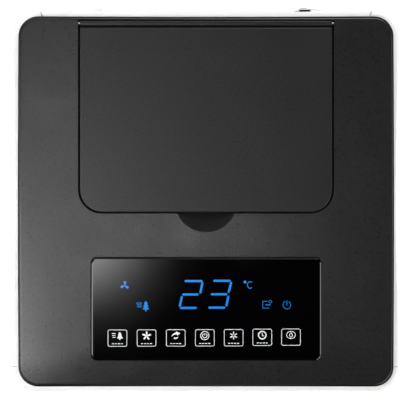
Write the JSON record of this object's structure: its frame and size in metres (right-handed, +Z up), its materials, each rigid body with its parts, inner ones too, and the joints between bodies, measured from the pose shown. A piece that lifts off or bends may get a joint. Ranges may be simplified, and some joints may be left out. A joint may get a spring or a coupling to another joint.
{
  "type": "evaporative cooler",
  "caption": "Upright portable evaporative air cooler on castors, with a flush fill lid and touch panel on top, front outlet louvres and a rear tank and filter.",
  "frame": {"origin": "on the floor under the centre of the bounding box", "axes": "+Z up, -Y towards the front with the outlet and the touch panel, +X to the right of the cooler seen from the front"},
  "size_m": [0.33, 0.33, 0.7404],
  "materials": {
    "white_shell": "fine satin white ABS moulding",
    "black_deck": "fine-grained charcoal black ABS moulding",
    "black_lid": "fine-grained black ABS moulding",
    "control_glass": "black-backed tempered glass",
    "display_blue": "blue display module",
    "circuit_board": "solder-masked glass-fibre board",
    "dark_plastic": "plain dark moulding",
    "grey_plastic": "plain grey moulding",
    "clear_plastic": "clear polypropylene",
    "bright_steel": "zinc-plated steel",
    "black_rubber": "moulded rubber",
    "float_plastic": "closed foam float",
    "pad_paper": "corrugated cellulose honeycomb",
    "filter_mesh": "woven plastic mesh",
    "castor_plastic": "nylon moulding",
    "castor_tread": "soft rubber tread"
  },
  "bodies": {
    "cabinet": {"base_pan": "dark_plastic", "front_shell": "white_shell", "level_window": "clear_plastic", "side_panel_left": "white_shell", "side_panel_right": "white_shell", "rear_panel": "white_shell", "cord_gland": "black_rubber", "cord_hook": "dark_plastic", "mid_shelf": "grey_plastic", "hose_grommet": "black_rubber", "riser_hose": "black_rubber", "water_trough": "grey_plastic", "outlet_frame": "black_deck", "swing_motor": "bright_steel", "blower_scroll": "grey_plastic", "scroll_cover": "grey_plastic", "fan_motor": "bright_steel", "top_deck": "black_deck", "lid_hinge_rod": "bright_steel", "control_glass": "control_glass", "display_board": "circuit_board", "display_module": "display_blue", "control_box": "dark_plastic", "ice_tray": "grey_plastic"},
    "lid": {"fill_lid": "black_lid"},
    "fan": {"blower_wheel": "dark_plastic", "blower_cage": "dark_plastic"},
    "tank": {"water_tank": "clear_plastic", "tank_door": "white_shell", "water_pump": "dark_plastic"},
    "plug": {"drain_plug": "black_rubber"},
    "float": {"level_float": "float_plastic"},
    "latch": {"tank_latch": "grey_plastic"},
    "filter": {"filter_frame": "white_shell", "filter_net": "filter_mesh", "cooling_pad": "pad_paper"},
    "louvre_3": {"louvre_3": "black_deck"},
    "louvre_1": {"louvre_1": "black_deck"},
    "louvre_2": {"louvre_2": "black_deck"},
    "louvre_4": {"louvre_4": "black_deck"},
    "louvre_5": {"louvre_5": "black_deck"},
    "louvre_link": {"louvre_link": "grey_plastic"},
    "vane_3": {"vane_3": "black_deck"},
    "vane_1": {"vane_1": "black_deck"},
    "vane_2": {"vane_2": "black_deck"},
    "vane_4": {"vane_4": "black_deck"},
    "vane_5": {"vane_5": "black_deck"},
    "vane_link": {"vane_link": "grey_plastic"},
    "fork_front_left": {"castor_fork_front_left": "castor_plastic", "castor_axle_front_left": "bright_steel"},
    "wheel_front_left": {"castor_wheel_front_left": "castor_tread"},
    "fork_front_right": {"castor_fork_front_right": "castor_plastic", "castor_axle_front_right": "bright_steel"},
    "wheel_front_right": {"castor_wheel_front_right": "castor_tread"},
    "fork_rear_left": {"castor_fork_rear_left": "castor_plastic", "castor_axle_rear_left": "bright_steel"},
    "wheel_rear_left": {"castor_wheel_rear_left": "castor_tread"},
    "fork_rear_right": {"castor_fork_rear_right": "castor_plastic", "castor_axle_rear_right": "bright_steel"},
    "wheel_rear_right": {"castor_wheel_rear_right": "castor_tread"}
  },
  "joints": [
    {"name": "lid_hinge", "type": "hinge", "parent": "cabinet", "child": "lid", "pos_m": [0, 0.14885, 0.7374], "axis": [-1, 0, 0], "range_deg": [0, 100]},
    {"name": "fan_spin", "type": "hinge", "parent": "cabinet", "child": "fan", "pos_m": [0, -0.06, 0.38241], "axis": [0, 1, 0], "continuous": true},
    {"name": "tank_slide", "type": "slide", "parent": "cabinet", "child": "tank", "axis": [0, 1, 0], "range_m": [0, 0.24]},
    {"name": "plug_pull", "type": "slide", "parent": "tank", "child": "plug", "axis": [0, 1, 0], "range_m": [0, 0.03]},
    {"name": "float_rise", "type": "slide", "parent": "tank", "child": "float", "axis": [0, 0, 1], "range_m": [0, 0.14]},
    {"name": "latch_turn", "type": "hinge", "parent": "cabinet", "child": "latch", "pos_m": [0, 0.16, 0.24735], "axis": [0, 1, 0], "range_deg": [0, 90]},
    {"name": "filter_pull", "type": "slide", "parent": "cabinet", "child": "filter", "axis": [0, 1, 0], "range_m": [0, 0.065]},
    {"name": "louvre_3_tilt", "type": "hinge", "parent": "cabinet", "child": "louvre_3", "pos_m": [0, -0.15, 0.605], "axis": [1, 0, 0], "range_deg": [-30, 30]},
    {"name": "louvre_1_tilt", "type": "hinge", "parent": "cabinet", "child": "louvre_1", "pos_m": [0, -0.15, 0.5394], "axis": [1, 0, 0], "range_deg": [-30, 30]},
    {"name": "louvre_2_tilt", "type": "hinge", "parent": "cabinet", "child": "louvre_2", "pos_m": [0, -0.15, 0.5722], "axis": [1, 0, 0], "range_deg": [-30, 30]},
    {"name": "louvre_4_tilt", "type": "hinge", "parent": "cabinet", "child": "louvre_4", "pos_m": [0, -0.15, 0.6378], "axis": [1, 0, 0], "range_deg": [-30, 30]},
    {"name": "louvre_5_tilt", "type": "hinge", "parent": "cabinet", "child": "louvre_5", "pos_m": [0, -0.15, 0.6706], "axis": [1, 0, 0], "range_deg": [-30, 30]},
    {"name": "louvre_link_pivot", "type": "hinge", "parent": "louvre_3", "child": "louvre_link", "pos_m": [0.117, -0.141, 0.605], "axis": [1, 0, 0], "range_deg": [-30, 30]},
    {"name": "vane_3_swing", "type": "hinge", "parent": "cabinet", "child": "vane_3", "pos_m": [0, -0.117, 0.6], "axis": [0, 0, 1], "range_deg": [-30, 30]},
    {"name": "vane_1_swing", "type": "hinge", "parent": "cabinet", "child": "vane_1", "pos_m": [-0.0976, -0.117, 0.6], "axis": [0, 0, 1], "range_deg": [-30, 30]},
    {"name": "vane_2_swing", "type": "hinge", "parent": "cabinet", "child": "vane_2", "pos_m": [-0.0488, -0.117, 0.6], "axis": [0, 0, 1], "range_deg": [-30, 30]},
    {"name": "vane_4_swing", "type": "hinge", "parent": "cabinet", "child": "vane_4", "pos_m": [0.0488, -0.117, 0.6], "axis": [0, 0, 1], "range_deg": [-30, 30]},
    {"name": "vane_5_swing", "type": "hinge", "parent": "cabinet", "child": "vane_5", "pos_m": [0.0976, -0.117, 0.6], "axis": [0, 0, 1], "range_deg": [-30, 30]},
    {"name": "vane_link_pivot", "type": "hinge", "parent": "vane_3", "child": "vane_link", "pos_m": [0, -0.109, 0.5255], "axis": [0, 0, 1], "range_deg": [-30, 30]},
    {"name": "swivel_front_left", "type": "hinge", "parent": "cabinet", "child": "fork_front_left", "pos_m": [-0.131, -0.123, 0.05], "axis": [0, 0, 1], "continuous": true},
    {"name": "roll_front_left", "type": "hinge", "parent": "fork_front_left", "child": "wheel_front_left", "pos_m": [-0.131, -0.111, 0.017], "axis": [1, 0, 0], "continuous": true},
    {"name": "swivel_front_right", "type": "hinge", "parent": "cabinet", "child": "fork_front_right", "pos_m": [0.131, -0.123, 0.05], "axis": [0, 0, 1], "continuous": true},
    {"name": "roll_front_right", "type": "hinge", "parent": "fork_front_right", "child": "wheel_front_right", "pos_m": [0.131, -0.111, 0.017], "axis": [1, 0, 0], "continuous": true},
    {"name": "swivel_rear_left", "type": "hinge", "parent": "cabinet", "child": "fork_rear_left", "pos_m": [-0.131, 0.118, 0.05], "axis": [0, 0, 1], "continuous": true},
    {"name": "roll_rear_left", "type": "hinge", "parent": "fork_rear_left", "child": "wheel_rear_left", "pos_m": [-0.131, 0.13, 0.017], "axis": [1, 0, 0], "continuous": true},
    {"name": "swivel_rear_right", "type": "hinge", "parent": "cabinet", "child": "fork_rear_right", "pos_m": [0.131, 0.118, 0.05], "axis": [0, 0, 1], "continuous": true},
    {"name": "roll_rear_right", "type": "hinge", "parent": "fork_rear_right", "child": "wheel_rear_right", "pos_m": [0.131, 0.13, 0.017], "axis": [1, 0, 0], "continuous": true}
  ],
  "couplings": [
    {"joint": "louvre_1_tilt", "follows": "louvre_3_tilt", "ratio": 1},
    {"joint": "louvre_2_tilt", "follows": "louvre_3_tilt", "ratio": 1},
    {"joint": "louvre_4_tilt", "follows": "louvre_3_tilt", "ratio": 1},
    {"joint": "louvre_5_tilt", "follows": "louvre_3_tilt", "ratio": 1},
    {"joint": "louvre_link_pivot", "follows": "louvre_3_tilt", "ratio": -1},
    {"joint": "vane_1_swing", "follows": "vane_3_swing", "ratio": 1},
    {"joint": "vane_2_swing", "follows": "vane_3_swing", "ratio": 1},
    {"joint": "vane_4_swing", "follows": "vane_3_swing", "ratio": 1},
    {"joint": "vane_5_swing", "follows": "vane_3_swing", "ratio": 1},
    {"joint": "vane_link_pivot", "follows": "vane_3_swing", "ratio": -1}
  ]
}
